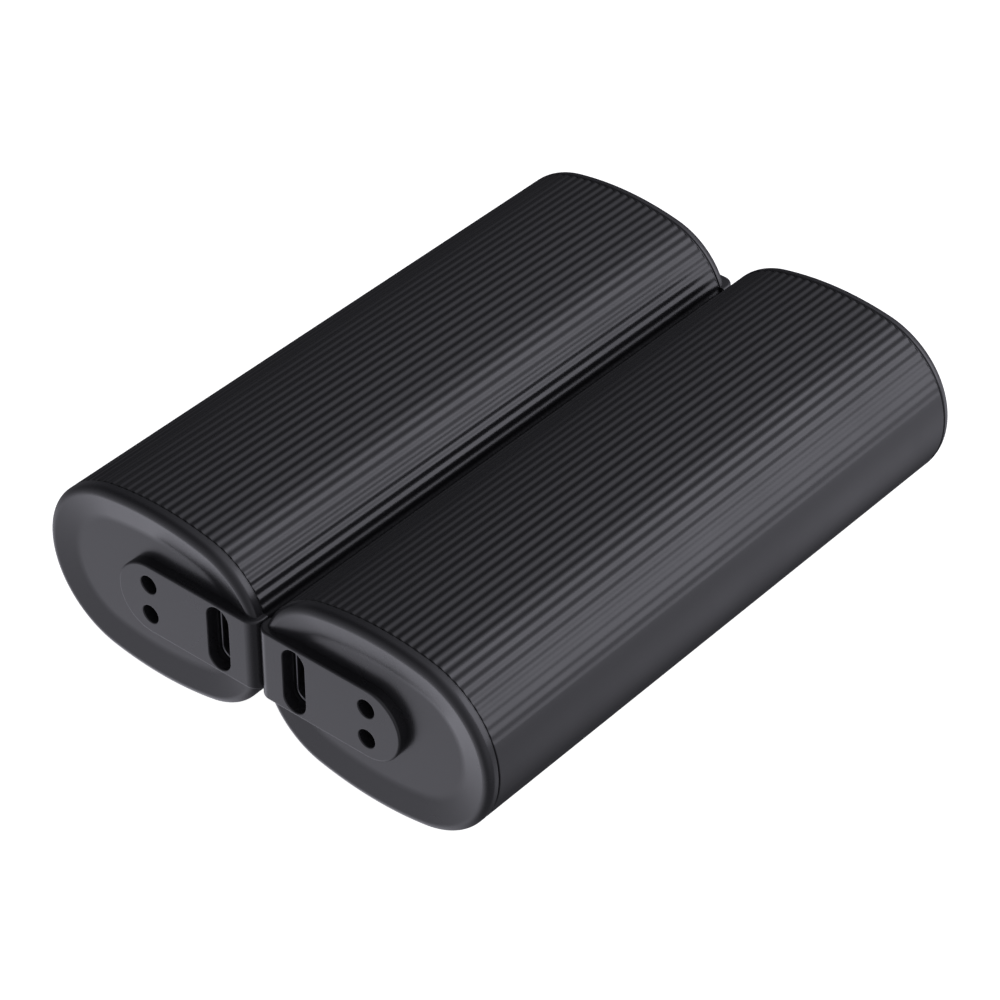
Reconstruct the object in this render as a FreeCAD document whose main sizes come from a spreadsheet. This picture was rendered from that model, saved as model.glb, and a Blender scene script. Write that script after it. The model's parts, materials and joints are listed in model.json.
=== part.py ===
import FreeCAD, Part
import os
import re
import Sketcher
from FreeCAD import Placement, Rotation, Vector
from math import atan2, cos, pi, sin

# Two-in-one rechargeable hand warmer: two like units side by side, held together by magnets.
# Millimetres, +Z up, +X across the pair, charging ends towards -Y.
# Each unit is drawn as the right-hand one: x runs outwards from the face where the units meet,
# z from mid-height, and "forward" is the distance from mid-length towards the charging end (-Y).
# The left-hand unit is the same unit turned half round its length.

SIZES = {
    # Pair
    "mate_gap": 0.1,
    "overrun": 1.0,
    # Cell
    "cell_diameter": 18.6,
    "cell_length": 65.0,
    "cell_clearance": 0.3,
    "cell_gap": 0.97,
    "tab_width": 6.0,
    "tab_thickness": 0.2,
    "tab_gap": 0.05,
    "tab_overlap": 4.0,
    "tab_room": 0.5,
    # Sleeve
    "shell_wall": 1.6,
    "crown_radius": 40.6,
    "crown_shift": 1.4,
    "mate_flat": 2.2,
    "side_room": 3.7,
    "rib_pitch": 1.225,
    "rib_depth": 0.25,
    "groove_width": 0.6,
    "smooth_band": 9.2,
    "mate_band": 6.3,
    # Heater films, lying between the sleeve and the carrier
    "film_room": 0.4,
    "film_gap": 0.05,
    "film_thickness": 0.25,
    "film_length": 58.0,
    "film_edge": 10.6,
    # Carrier
    "chassis_wall": 1.2,
    "bulkhead_wall": 1.5,
    "end_clearance": 0.3,
    "part_clearance": 0.1,
    # End caps
    "cap_plate": 1.85,
    "dish_depth": 0.7,
    "dish_width": 4.3,
    "rim_height": 1.3,
    "rim_bevel": 1.0,
    "shadow_gap": 0.5,
    "boss_rise": 1.55,
    "boss_reach": 17.2,
    "boss_radius": 5.1,
    "boss_corner": 1.7,
    "boss_edge": 0.3,
    "flare_width": 0.9,
    "flare_rise": 1.0,
    "flare_start": 2.0,
    "spigot_depth": 4.0,
    "latch_width": 8.0,
    "latch_thickness": 1.0,
    "latch_gap": 0.35,
    "latch_reach": 3.2,
    "nose_length": 1.2,
    "nose_height": 0.8,
    "window_clearance": 0.2,
    # Cord holes
    "cord_hole": 2.45,
    "cord_pitch": 4.5,
    "well_wall": 0.85,
    # USB-C socket
    "port_offset": 5.95,
    "usb_width": 8.94,
    "usb_height": 3.16,
    "usb_length": 7.35,
    "usb_wall": 0.3,
    "usb_recess": 2.0,
    "mouth_clearance": 0.13,
    "tongue_width": 6.7,
    "tongue_thickness": 0.7,
    "tongue_recess": 0.8,
    "tongue_base": 2.4,
    "tongue_fit": 0.05,
    # Boards
    "board_thickness": 1.0,
    "board_height": 15.0,
    "board_nose": 1.0,
    "board_gap": 0.85,
    "flex_thickness": 0.2,
    "flex_width": 6.0,
    "flex_lap": 5.0,
    "coil_side": 6.0,
    "coil_height": 2.8,
    "chip_side": 4.0,
    "chip_height": 0.9,
    "chip_spacing": 7.5,
    "capacitor_length": 3.2,
    "capacitor_width": 1.6,
    "capacitor_height": 1.4,
    # Magnets and temperature sensor
    "magnet_length": 14.0,
    "magnet_height": 8.0,
    "magnet_thickness": 2.0,
    "magnet_depth": 0.6,
    "magnet_spacing": 44.0,
    "sensor_length": 4.0,
    "sensor_width": 3.0,
    "sensor_height": 0.9,
    # Button, switch and charge lamps
    "button_diameter": 6.6,
    "button_clearance": 0.15,
    "button_sink": 0.1,
    "button_bevel": 0.3,
    "flange_side": 8.4,
    "flange_thickness": 0.8,
    "press_gap": 0.05,
    "stem_side": 3.0,
    "stem_height": 1.5,
    "stem_root": 0.6,
    "stem_well": 1.3,
    "stem_clearance": 0.1,
    "switch_side": 6.0,
    "switch_height": 3.5,
    "switch_margin": 1.0,
    "lamp_offset": 5.6,
    "lamp_pitch": 2.0,
    "prong_width": 0.9,
    "pipe_clearance": 0.08,
    "pipe_bar": 2.4,
    "pipe_margin": 0.9,
    "lamp_length": 1.6,
    "lamp_width": 0.8,
    "lamp_height": 0.6,
    "lamp_air": 0.2,
    "standoff_side": 3.0,
}
LAMP_COUNT = 3

# Values worked out from the sizes, in the order in which they build on each other.
LAYOUT = {
    # Section of the sleeve
    "half_height": "cell_diameter / 2 + cell_clearance + chassis_wall + film_room + shell_wall",
    "board_face": "port_offset + usb_height / 2",
    "cell_offset": "board_face + board_thickness + cell_gap + cell_diameter / 2",
    "frame_inset": "shell_wall + film_room",
    "room_inset": "frame_inset + chassis_wall",
    "half_width": "cell_offset + cell_diameter / 2 + side_room + room_inset",
    "crown_offset": "cell_offset - crown_shift",
    "side_run": "half_width - crown_offset",
    "mate_rise": "half_height - mate_flat / 2",
    "side_radius": "(2 * crown_radius * half_height - half_height ^ 2 - side_run ^ 2)"
                   " / (2 * (crown_radius - side_run))",
    "mate_radius": "(2 * crown_radius * mate_rise - mate_rise ^ 2 - crown_offset ^ 2)"
                   " / (2 * (crown_radius - crown_offset))",
    "diagonal_share": "1 / 2 ^ 0.5",
    "slim_share": "2 - 3 ^ 0.5",
    "broad_share": "3 ^ 0.5 - 1",
    "side_lean_share": "(side_run - side_radius) / (crown_radius - side_radius)",
    "side_lift_share": "(crown_radius - half_height) / (crown_radius - side_radius)",
    "mate_lean_share": "(mate_radius - crown_offset) / (crown_radius - mate_radius)",
    "mate_lift_share": "(crown_radius - mate_rise) / (crown_radius - mate_radius)",
    "spigot_inset": "shell_wall + part_clearance",
    # Forward levels, from mid-length to the end
    "cell_end": "cell_length / 2",
    "bulkhead_back": "cell_end + tab_room",
    "bulkhead_front": "bulkhead_back + bulkhead_wall",
    "rear_board": "bulkhead_front + board_gap",
    "switch_base": "rear_board + board_thickness",
    "switch_top": "switch_base + switch_height",
    "stem_top": "switch_top + stem_height",
    "flange_back": "stem_top + press_gap",
    "flange_front": "flange_back + flange_thickness",
    "plate_back": "flange_front + press_gap",
    "floor_level": "plate_back + cap_plate",
    "crest_level": "floor_level + dish_depth",
    "rim_back": "crest_level - rim_height",
    "shell_end": "rim_back - shadow_gap",
    "boss_level": "floor_level + boss_rise",
    "spigot_end": "shell_end - spigot_depth",
    "tray_end": "spigot_end - end_clearance",
    # Places on the end caps and the carrier
    "latch_top": "half_height - room_inset - latch_gap",
    "latch_end": "tray_end - latch_reach",
    "well_floor": "spigot_end + well_wall",
    "usb_front": "boss_level - usb_recess",
    "usb_back": "usb_front - usb_length",
    "magnet_inner": "shell_wall + magnet_depth + magnet_thickness",
    "board_room": "board_face - coil_height - part_clearance",
    "end_room": "port_offset - usb_height / 2 - part_clearance",
    "sensor_top": "half_height - frame_inset - part_clearance",
    "lamp_last": f"lamp_offset + {LAMP_COUNT - 1} * lamp_pitch",
    "lamp_top": "switch_base + lamp_height",
    "button_top": "boss_level - button_sink",
}

doc = FreeCAD.newDocument("hand_warmer")
sheet = doc.addObject("Spreadsheet::Sheet", "sizes")
for row, (alias, number) in enumerate(SIZES.items(), start=1):
    sheet.set(f"A{row}", alias)
    sheet.set(f"B{row}", str(number))
    sheet.setAlias(f"B{row}", alias)
layout = doc.addObject("App::VarSet", "layout")
doc.recompute()


def bound(text):
    """An expression in plain size names, with each name led back to the sheet or the layout."""
    def owned(match):
        word = match.group()
        if word in SIZES:
            return f"sizes.{word}"
        return f"layout.{word}" if word in LAYOUT else word
    return re.sub(r"[a-z]\w*", owned, text)


for name, text in LAYOUT.items():
    layout.addProperty("App::PropertyFloat", name)
    layout.setExpression(name, bound(text))
    doc.recompute()


def value(text):
    """The number that an expression in size names gives now."""
    return float(sheet.evalExpression(bound(text)))


def tie(thing, path, text):
    thing.setExpression(path, bound(text))


def new_body(unit, node, rear=False):
    """An empty body, placed in its unit; a rear body is drawn at the front and turned end for end."""
    body = doc.addObject("PartDesign::Body", f"{unit}_{node}")
    sign = "" if unit == "right" else "-"
    turn = Rotation() if unit == "right" else Rotation(Vector(0, 1, 0), 180)
    if rear:
        turn = turn * Rotation(Vector(1, 0, 0), 180)
    body.Placement = Placement(Vector(), turn)
    tie(body, "Placement.Base.x", f"{sign}mate_gap / 2")
    tie(body, "Placement.Base.z", "half_height")
    return body


def feature(body, kind, name):
    return body.newObject(f"PartDesign::{kind}", f"{body.Name}_{name}")


def new_sketch(body, name, plane, level="0", across="0"):
    """A sketch on one of the body's own planes, moved out along its normal and sideways."""
    sketch = body.newObject("Sketcher::SketchObject", f"{body.Name}_{name}_sketch")
    support = [f for f in body.Origin.OriginFeatures if f.Role == plane][0]
    sketch.AttachmentSupport = (support, [""])
    sketch.MapMode = "FlatFace"
    tie(sketch, "AttachmentOffset.Base.z", level)
    tie(sketch, "AttachmentOffset.Base.x", across)
    return sketch


def dimension(sketch, kind, *where, text):
    number = sketch.addConstraint(Sketcher.Constraint(kind, *where, value(text)))
    tie(sketch, f"Constraints[{number}]", text)


def join(sketch, kind, first, count):
    """Join each of the last-added edges to the next, end to start, and the last to the first."""
    for step in range(count):
        after = first + (step + 1) % count
        sketch.addConstraint(Sketcher.Constraint(kind, first + step, 2, after, 1))


def arc(centre, radius, start, stop):
    return Part.ArcOfCircle(Part.Circle(Vector(*centre, 0), Vector(0, 0, 1), radius), start, stop)


def line(start, stop):
    return Part.LineSegment(Vector(*start, 0), Vector(*stop, 0))


def section_arcs(inset):
    """Arcs of the oval section's upper half from the outer side to the flat: centre, radius, angles."""
    crown = (value("crown_offset"), value("half_height - crown_radius"))
    side = (value("half_width - side_radius"), 0.0)
    mate = (value("mate_radius"), value("mate_flat / 2"))
    side_angle = atan2(side[1] - crown[1], side[0] - crown[0])
    mate_angle = atan2(mate[1] - crown[1], mate[0] - crown[0])
    return [
        (side, value("side_radius") - inset, 0.0, side_angle),
        (crown, value("crown_radius") - inset, side_angle, mate_angle),
        (mate, value("mate_radius") - inset, mate_angle, pi),
    ]


def oval(sketch, inset):
    """The sleeve's section, drawn in by an inset: side, crown and mating arcs and the flat."""
    depth = value(inset)
    side, crown, mate = section_arcs(depth)
    flat = value("mate_flat / 2")
    lower = [((centre[0], -centre[1]), radius, -stop, -start)
             for centre, radius, start, stop in (mate, crown)]
    first = sketch.GeometryCount
    sketch.addGeometry([
        arc(side[0], side[1], -side[3], side[3]),
        arc(*crown),
        arc(*mate),
        line((depth, flat), (depth, -flat)),
        arc(*lower[0]),
        arc(*lower[1]),
    ])
    join(sketch, "Tangent", first, 6)
    crowns = (first + 1, first + 5)
    mates = (first + 2, first + 4)
    sketch.addConstraint(Sketcher.Constraint("Symmetric", crowns[0], 3, crowns[1], 3, -1))
    sketch.addConstraint(Sketcher.Constraint("Equal", *crowns))
    sketch.addConstraint(Sketcher.Constraint("Equal", *mates))
    dimension(sketch, "DistanceX", -1, 1, first, 3, text="half_width - side_radius")
    dimension(sketch, "Radius", first, text=f"side_radius - ({inset})")
    dimension(sketch, "DistanceX", -1, 1, crowns[0], 3, text="crown_offset")
    dimension(sketch, "Radius", crowns[0], text=f"crown_radius - ({inset})")
    dimension(sketch, "Radius", mates[0], text=f"mate_radius - ({inset})")
    dimension(sketch, "DistanceX", -1, 1, first + 3, 1, text=inset)


def polygon(sketch, points):
    """A closed outline whose corners are pairs of expressions."""
    corners = [(value(x), value(y)) for x, y in points]
    first = sketch.GeometryCount
    for step, corner in enumerate(corners):
        sketch.addGeometry(line(corner, corners[(step + 1) % len(corners)]))
    join(sketch, "Coincident", first, len(corners))
    for step, (x, y) in enumerate(points):
        dimension(sketch, "DistanceX", -1, 1, first + step, 1, text=x)
        dimension(sketch, "DistanceY", -1, 1, first + step, 1, text=y)


def both_halves(upper):
    """Corners above the sketch's x axis, followed by the same below it."""
    return upper + [(x, f"-({z})") for x, z in reversed(upper)]


def facetted_oval(sketch, inset):
    """The oval as a polygon: corners at its crown, where its arcs join and half-way round its ends."""
    side = f"(side_radius - ({inset}))"
    crown = f"(crown_radius - ({inset}))"
    mate = f"(mate_radius - ({inset}))"
    crown_centre = "half_height - crown_radius"
    upper = [
        (f"half_width - side_radius + {side} * diagonal_share", f"{side} * diagonal_share"),
        (f"crown_offset + {crown} * side_lean_share", f"{crown_centre} + {crown} * side_lift_share"),
        ("crown_offset", f"half_height - ({inset})"),
        (f"crown_offset + {crown} * mate_lean_share", f"{crown_centre} + {crown} * mate_lift_share"),
        (f"mate_radius - {mate} * diagonal_share", f"mate_flat / 2 + {mate} * diagonal_share"),
        (inset, "mate_flat / 2"),
    ]
    polygon(sketch, [(f"half_width - ({inset})", "0"), *both_halves(upper)])


def twelve_sided(sketch, middle, radius):
    """A polygon round a circle on the sketch's x axis, with an upright side where it meets that axis."""
    half = f"({radius})"
    slim = f"{half} * slim_share"
    broad = f"{half} * broad_share"
    quarter = [(half, slim), (broad, broad), (slim, half)]
    right = [(f"{middle} + {x}", z) for x, z in quarter]
    left = [(f"{middle} - {x}", z) for x, z in reversed(quarter)]
    polygon(sketch, both_halves(right + left))


def stadium(sketch, middle, half_length, radius):
    """An upright slot with full-round ends, about a point on the sketch's x axis."""
    x = value(middle)
    r = value(radius)
    rise = value(half_length) - r
    first = sketch.GeometryCount
    sketch.addGeometry([
        arc((x, rise), r, 0, pi),
        line((x - r, rise), (x - r, -rise)),
        arc((x, -rise), r, pi, 2 * pi),
        line((x + r, -rise), (x + r, rise)),
    ])
    join(sketch, "Tangent", first, 4)
    sketch.addConstraint(Sketcher.Constraint("Equal", first, first + 2))
    sketch.addConstraint(Sketcher.Constraint("Symmetric", first, 3, first + 2, 3, -1))
    dimension(sketch, "DistanceX", -1, 1, first, 3, text=middle)
    dimension(sketch, "DistanceY", -1, 1, first, 3, text=f"{half_length} - ({radius})")
    dimension(sketch, "Radius", first, text=radius)


def tongue_outline(sketch, start, radius):
    """The boss's outline: straight from its start by the mating face, full-round at its far end."""
    x = value(start)
    reach = value("boss_reach")
    r = value(radius)
    first = sketch.GeometryCount
    sketch.addGeometry([
        arc((reach, 0), r, -pi / 2, pi / 2),
        line((reach, r), (x, r)),
        line((x, r), (x, -r)),
        line((x, -r), (reach, -r)),
    ])
    sketch.addConstraint(Sketcher.Constraint("Tangent", first, 2, first + 1, 1))
    sketch.addConstraint(Sketcher.Constraint("Tangent", first + 3, 2, first, 1))
    sketch.addConstraint(Sketcher.Constraint("Coincident", first + 1, 2, first + 2, 1))
    sketch.addConstraint(Sketcher.Constraint("Coincident", first + 2, 2, first + 3, 1))
    sketch.addConstraint(Sketcher.Constraint("Horizontal", first + 1))
    sketch.addConstraint(Sketcher.Constraint("Vertical", first + 2))
    sketch.addConstraint(Sketcher.Constraint("PointOnObject", first, 3, -1))
    dimension(sketch, "DistanceX", -1, 1, first, 3, text="boss_reach")
    dimension(sketch, "Radius", first, text=radius)
    dimension(sketch, "DistanceX", -1, 1, first + 2, 1, text=start)


def oval_sketch(body, name, level, *insets):
    sketch = new_sketch(body, name, "XZ_Plane", level)
    for inset in insets:
        oval(sketch, inset)
    return sketch


def pad(body, name, sketch, length):
    """Raise a sketch forwards."""
    made = feature(body, "Pad", name)
    made.Profile = sketch
    tie(made, "Length", length)
    return made


def pocket(body, name, sketch, length, forwards=False):
    """Sink a sketch backwards, or forwards from behind."""
    made = feature(body, "Pocket", name)
    made.Profile = sketch
    made.Reversed = forwards
    tie(made, "Length", length)
    return made


def loft(body, kind, name, sketches):
    made = feature(body, kind, name)
    made.Profile = sketches[0]
    made.Sections = sketches[1:]
    made.Ruled = True
    return made


def box(body, name, across, forward, upright, cut=False):
    """A block from one expression to another along x, forward and z."""
    made = feature(body, "SubtractiveBox" if cut else "AdditiveBox", name)
    tie(made, "Length", f"({across[1]}) - ({across[0]})")
    tie(made, "Width", f"({forward[1]}) - ({forward[0]})")
    tie(made, "Height", f"({upright[1]}) - ({upright[0]})")
    tie(made, "Placement.Base.x", across[0])
    tie(made, "Placement.Base.y", f"-({forward[1]})")
    tie(made, "Placement.Base.z", upright[0])
    return made


def rod(body, name, x, z, radius, forward, cut=False):
    """A round bar along the unit's length, from one forward level to another."""
    made = feature(body, "SubtractiveCylinder" if cut else "AdditiveCylinder", name)
    made.Placement = Placement(Vector(), Rotation(Vector(1, 0, 0), 90))
    tie(made, "Radius", radius)
    tie(made, "Height", f"({forward[1]}) - ({forward[0]})")
    tie(made, "Placement.Base.x", x)
    tie(made, "Placement.Base.y", f"-({forward[0]})")
    tie(made, "Placement.Base.z", z)
    return made


def turned(body, name, centre, points):
    """A solid of revolution about a line along the unit's length: corners as radius and forward."""
    sketch = new_sketch(body, name, "XY_Plane", across=centre)
    polygon(sketch, [(radius, f"-({forward})") for radius, forward in points])
    made = feature(body, "Revolution", name)
    made.Profile = sketch
    made.ReferenceAxis = (sketch, ["V_Axis"])
    made.Angle = 360
    return made


def edges_where(body, test):
    """Names of the edges of the body's last feature that pass a test."""
    doc.recompute()
    return [f"Edge{n}" for n, edge in enumerate(body.Tip.Shape.Edges, start=1) if test(edge)]


def eased(body, kind, name, size, test):
    """A fillet of some radius, or a chamfer of some size, on the edges that pass a test."""
    names = edges_where(body, test)
    base = body.Tip
    made = feature(body, kind, name)
    made.Base = (base, names)
    tie(made, "Radius" if kind == "Fillet" else "Size", size)
    return made


def both_ways(text):
    """A span of an expression to each side of zero."""
    return (f"-({text})", text)


def about(middle, half):
    return (f"{middle} - ({half})", f"{middle} + ({half})")


def to_side(sign, start, stop):
    """A span on the positive side of zero, or the same span on its negative side."""
    return (f"-({stop})", f"-({start})") if sign else (start, stop)


def near(a, b):
    return abs(a - b) < Part.Precision.approximation()


# Ribbed sleeve

def half_outline():
    """Length of the upper outline, from the outer side's middle to the flat's middle."""
    return value("mate_flat / 2") + sum(radius * (stop - start) for _, radius, start, stop in section_arcs(0))


def rib_spans():
    """Lengths along the upper outline, from the outer side's middle, where each groove starts and stops."""
    low = value("smooth_band / 2")
    room = half_outline() - value("mate_band / 2") - low
    count = int(room / value("rib_pitch"))
    margin = (room - count * value("rib_pitch") + value("rib_pitch - groove_width")) / 2
    starts = [low + margin + step * value("rib_pitch") for step in range(count)]
    return [(start, start + value("groove_width")) for start in starts]


def outline_point(length, inset=0.0):
    """Point of the upper outline at a length from the outer side's middle, drawn in by an inset."""
    for centre, radius, start, stop in section_arcs(0):
        span = radius * (stop - start)
        if length <= span:
            angle = start + length / radius
            reach = radius - inset
            return Vector(centre[0] + reach * cos(angle), 0, centre[1] + reach * sin(angle))
        length -= span
    return Vector(inset, 0, value("mate_flat / 2") - length)


def outline_run(start, stop):
    """Arcs of the upper outline between two lengths; the flat and a rib's narrow top are lines."""
    marks = [0.0]
    for _, radius, first, last in section_arcs(0):
        marks.append(marks[-1] + radius * (last - first))
    marks.append(marks[-1] + value("mate_flat / 2"))
    edges = []
    for number in range(len(marks) - 1):
        low = max(start, marks[number])
        high = min(stop, marks[number + 1])
        if high - low < Part.Precision.approximation():
            continue
        ends = outline_point(low), outline_point(high)
        if number == len(marks) - 2 or high - low < value("rib_pitch"):
            edges.append(Part.LineSegment(*ends).toShape())
        else:
            edges.append(Part.Arc(ends[0], outline_point((low + high) / 2), ends[1]).toShape())
    return edges


def ribbed_outline():
    """Closed outline of the sleeve with a vee groove between each two ribs."""
    edges = []
    here = 0.0
    for start, stop in rib_spans():
        edges += outline_run(here, start)
        root = outline_point((start + stop) / 2, value("rib_depth"))
        edges.append(Part.LineSegment(outline_point(start), root).toShape())
        edges.append(Part.LineSegment(root, outline_point(stop)).toShape())
        here = stop
    edges += outline_run(here, half_outline())
    below = [edge.mirror(Vector(), Vector(0, 0, 1)) for edge in edges]
    return Part.Wire(Part.__sortEdges__(edges + below))


def plain_outline(inset):
    """Closed smooth oval at an inset."""
    flat = value("mate_flat / 2")
    edges = [Part.LineSegment(Vector(inset, 0, -flat), Vector(inset, 0, flat)).toShape()]
    for centre, radius, start, stop in section_arcs(inset):
        points = [Vector(centre[0] + radius * cos(a), 0, centre[1] + radius * sin(a))
                  for a in (start, (start + stop) / 2, stop)]
        upper = Part.Arc(*points).toShape()
        edges += [upper, upper.mirror(Vector(), Vector(0, 0, 1))]
    return Part.Wire(Part.__sortEdges__(edges))


def make_shell(unit):
    section = doc.addObject("Part::Feature", f"{unit}_shell_section")
    section.Shape = Part.Face([ribbed_outline(), plain_outline(value("shell_wall"))])
    shell = doc.addObject("Part::Extrusion", f"{unit}_shell")
    shell.Base = section
    shell.DirMode = "Custom"
    shell.Dir = Vector(0, 1, 0)
    shell.Solid = True
    tie(shell, "LengthFwd", "shell_end")
    tie(shell, "LengthRev", "shell_end")
    sign = "" if unit == "right" else "-"
    shell.Placement = Placement(Vector(), Rotation(Vector(0, 1, 0), 0 if unit == "right" else 180))
    tie(shell, "Placement.Base.x", f"{sign}mate_gap / 2")
    tie(shell, "Placement.Base.z", "half_height")
    return shell


# Dished end caps

def cap_blank(body):
    """What both caps share: bevelled rim, dish, boss with its flared foot, spigot and latches."""
    foot = oval_sketch(body, "foot", "rim_back", "0")
    crest = oval_sketch(body, "crest", "crest_level", "rim_bevel")
    floor = oval_sketch(body, "floor", "floor_level", "dish_width")
    loft(body, "AdditiveLoft", "rim", [foot, crest])
    loft(body, "SubtractiveLoft", "dish", [crest, floor])
    boss = new_sketch(body, "boss", "XZ_Plane", "rim_back")
    tongue_outline(boss, "0", "boss_radius")
    pad(body, "boss", boss, "boss_level - rim_back")
    front = -value("boss_level")
    eased(body, "Fillet", "boss_corner", "boss_corner",
          lambda edge: all(near(v.Y, front) and near(v.X, 0) for v in edge.Vertexes))
    eased(body, "Chamfer", "boss_edge", "boss_edge",
          lambda edge: all(near(v.Y, front) for v in edge.Vertexes) and not near(edge.BoundBox.XLength, 0))
    sections = []
    for rise, swell in (("0", "flare_width"), ("flare_rise", "-boss_edge")):
        sketch = new_sketch(body, f"flare_{len(sections)}", "XZ_Plane", f"floor_level + {rise}")
        tongue_outline(sketch, "flare_start", f"boss_radius + {swell}")
        sections.append(sketch)
    loft(body, "AdditiveLoft", "flare", sections)
    spigot = new_sketch(body, "spigot", "XZ_Plane", "spigot_end")
    facetted_oval(spigot, "spigot_inset")
    pad(body, "spigot", spigot, "spigot_depth + shadow_gap")
    for sign, side in (("", "upper"), ("-", "lower")):
        arm = to_side(sign, "latch_top - latch_thickness", "latch_top")
        nose = to_side(sign, "latch_top", "latch_top + nose_height")
        width = about("crown_offset", "latch_width / 2")
        box(body, f"{side}_arm", width, ("latch_end", "spigot_end + part_clearance"), arm)
        box(body, f"{side}_nose", width, ("latch_end", "latch_end + nose_length"), nose)


def make_charge_cap(unit):
    body = new_body(unit, "charge_cap")
    cap_blank(body)
    box(body, "board_pocket", ("port_offset", "board_face + board_thickness + part_clearance"),
        ("spigot_end - overrun", "plate_back"), both_ways("board_height / 2 + part_clearance"), cut=True)
    mouth = new_sketch(body, "mouth", "XZ_Plane", "boss_level")
    stadium(mouth, "port_offset", "usb_width / 2 + mouth_clearance", "usb_height / 2 + mouth_clearance")
    pocket(body, "mouth", mouth, "boss_level - spigot_end")
    for sign, side in (("", "upper"), ("-", "lower")):
        rod(body, f"{side}_hole", "boss_reach", f"{sign}cord_pitch / 2", "cord_hole / 2",
            ("well_floor + cord_hole / 2", "boss_level + overrun"), cut=True)
    box(body, "cord_turn", about("boss_reach", "cord_hole / 2"), ("well_floor", "well_floor + cord_hole"),
        both_ways("(cord_pitch + cord_hole) / 2"), cut=True)
    return body


def make_switch_cap(unit):
    body = new_body(unit, "switch_cap", rear=True)
    cap_blank(body)
    flange_room = "flange_side / 2 + window_clearance"
    across = ("lamp_offset - pipe_margin - window_clearance", f"boss_reach + {flange_room}")
    depth = ("spigot_end - overrun", "plate_back")
    box(body, "switch_pocket", across, depth, both_ways(flange_room), cut=True)
    through = ("plate_back - overrun", "boss_level + overrun")
    rod(body, "button_bore", "boss_reach", "0", "button_diameter / 2 + button_clearance", through, cut=True)
    for lamp in range(LAMP_COUNT):
        slot = about(f"lamp_offset + {lamp} * lamp_pitch", "prong_width / 2 + pipe_clearance")
        box(body, f"lamp_slot_{lamp}", slot, through, both_ways("pipe_bar / 2 + pipe_clearance"), cut=True)
    return body


# USB-C socket

def make_usb_shell(unit):
    body = new_body(unit, "usb_shell")
    sketch = new_sketch(body, "ring", "XZ_Plane", "usb_back")
    stadium(sketch, "port_offset", "usb_width / 2", "usb_height / 2")
    stadium(sketch, "port_offset", "usb_width / 2 - usb_wall", "usb_height / 2 - usb_wall")
    pad(body, "ring", sketch, "usb_length")
    return body


def make_usb_tongue(unit):
    body = new_body(unit, "usb_tongue")
    sketch = new_sketch(body, "base", "XZ_Plane", "usb_back")
    half = "(usb_height / 2 - usb_wall - tongue_fit)"
    lean = f"{half} * diagonal_share"
    rise = "(usb_width - usb_height) / 2"
    right = [(f"port_offset + {half}", rise), (f"port_offset + {lean}", f"{rise} + {lean}")]
    left = [(f"port_offset - {lean}", f"{rise} + {lean}"), (f"port_offset - {half}", rise)]
    polygon(sketch, both_halves(right + left))
    pad(body, "base", sketch, "tongue_base")
    box(body, "tongue", about("port_offset", "tongue_thickness / 2"),
        ("usb_back", "usb_front - tongue_recess"), both_ways("tongue_width / 2"))
    return body


# Carrier

def chassis_half(body, upper):
    """One half of the carrier: a facetted bar hollowed for the cell, boards, magnets and latches."""
    bar = new_sketch(body, "bar", "XZ_Plane", "-tray_end")
    facetted_oval(bar, "frame_inset")
    pad(body, "bar", bar, "2 * tray_end")
    cell_span = both_ways("bulkhead_back")
    board_span = both_ways("board_height / 2 + part_clearance")
    cell_room = new_sketch(body, "cell_room", "XZ_Plane", "bulkhead_back")
    twelve_sided(cell_room, "cell_offset", "cell_diameter / 2 + cell_clearance")
    pocket(body, "cell_room", cell_room, "2 * bulkhead_back")
    box(body, "board_room", ("board_room", "cell_offset"), cell_span, board_span, cut=True)
    box(body, "board_slot", ("board_face - flex_thickness - part_clearance",
                             "board_face + board_thickness + part_clearance"),
        both_ways("tray_end + overrun"), board_span, cut=True)
    latch_span = about("crown_offset", "latch_width / 2 + window_clearance")
    for sign, end in (("", "front"), ("-", "rear")):
        ahead = to_side(sign, "bulkhead_front", "tray_end + overrun")
        box(body, f"{end}_room", ("end_room", "boss_reach + switch_side / 2 + 2 * switch_margin"), ahead,
            board_span, cut=True)
        box(body, f"{end}_latch_room", latch_span, ahead, both_ways("half_height - room_inset"), cut=True)
        window = to_side(sign, "latch_end - window_clearance", "latch_end + nose_length + window_clearance")
        box(body, f"{end}_latch_window", latch_span, window, both_ways("half_height"), cut=True)
        box(body, f"{end}_magnet_window", ("0", "magnet_inner + part_clearance"),
            about(f"{sign}magnet_spacing / 2", "magnet_length / 2 + part_clearance"),
            both_ways("magnet_height / 2 + part_clearance"), cut=True)
    box(body, "standoff", about("boss_reach", "standoff_side / 2"),
        ("-rear_board", "-(bulkhead_front - part_clearance)"), both_ways("standoff_side / 2"))
    away = ("-half_height", "0") if upper else ("0", "half_height")
    box(body, "other_half", ("0", "half_width"), both_ways("tray_end + overrun"), away, cut=True)


def make_chassis_tray(unit):
    body = new_body(unit, "chassis_tray")
    chassis_half(body, upper=False)
    return body


def make_chassis_cover(unit):
    body = new_body(unit, "chassis_cover")
    chassis_half(body, upper=True)
    box(body, "sensor_window", about("crown_offset", "sensor_length / 2 + part_clearance"),
        both_ways("sensor_width / 2 + part_clearance"), ("0", "half_height"), cut=True)
    return body


# Battery, boards and heaters

def make_battery_cell(unit):
    body = new_body(unit, "battery_cell")
    rod(body, "can", "cell_offset", "0", "cell_diameter / 2", both_ways("cell_end"))
    return body


def make_cell_tabs(unit):
    body = new_body(unit, "cell_tabs")
    for sign, end in (("", "front"), ("-", "rear")):
        span = to_side(sign, "cell_end + tab_gap", "cell_end + tab_gap + tab_thickness")
        box(body, f"{end}_tab", ("board_face + board_thickness", "cell_offset + tab_overlap"), span,
            both_ways("tab_width / 2"))
    return body


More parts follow.
